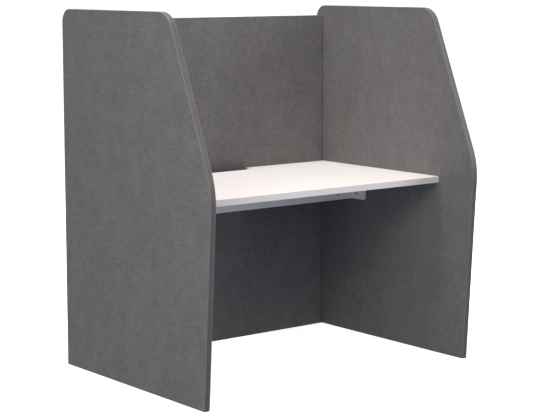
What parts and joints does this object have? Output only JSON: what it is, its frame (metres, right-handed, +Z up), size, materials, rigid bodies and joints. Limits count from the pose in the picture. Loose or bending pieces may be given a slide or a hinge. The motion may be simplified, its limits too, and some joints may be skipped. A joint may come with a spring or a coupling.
{
  "type": "study carrel",
  "caption": "Study carrel: felt-faced side panels with a sloping front edge and a felt-faced back panel round a laminate worktop with a cable scallop and steel cross beam.",
  "frame": {"origin": "on the floor, under the middle of the outer box", "axes": "+X to the reader's right, +Y to the back panel, +Z up"},
  "size_m": [1.31, 0.9562, 1.4],
  "materials": {
    "felt": "mid-grey melange felt",
    "chipboard": "raw chipboard",
    "edge_band": "satin dark grey",
    "laminate": "fine-grained white",
    "steel_white": "powder coated light grey",
    "screw_steel": "dark zinc",
    "zinc": "die-cast zinc",
    "beech": "fluted beech",
    "cap_plastic": "moulded grey"
  },
  "bodies": {
    "root": {"back_left_bracket": "steel_white", "back_panel_bottom_band": "edge_band", "back_panel_core": "chipboard", "back_panel_front_felt": "felt", "back_panel_rear_felt": "felt", "back_panel_top_band": "edge_band", "back_right_bracket": "steel_white", "beam_end_screws": "screw_steel", "beam_top_screws": "screw_steel", "bracket_panel_screws": "screw_steel", "bracket_worktop_screws": "screw_steel", "cam_bolts": "zinc", "cam_caps": "cap_plastic", "cam_housings": "zinc", "cross_beam": "steel_white", "left_front_bracket": "steel_white", "left_panel_core": "chipboard", "left_panel_edge_band": "edge_band", "left_panel_inner_felt": "felt", "left_panel_outer_felt": "felt", "left_rear_bracket": "steel_white", "panel_dowels": "beech", "right_front_bracket": "steel_white", "right_panel_core": "chipboard", "right_panel_edge_band": "edge_band", "right_panel_inner_felt": "felt", "right_panel_outer_felt": "felt", "right_rear_bracket": "steel_white", "worktop_backing_laminate": "laminate", "worktop_core": "chipboard", "worktop_front_band": "laminate", "worktop_scallop_band": "laminate", "worktop_top_laminate": "laminate"}
  },
  "joints": []
}
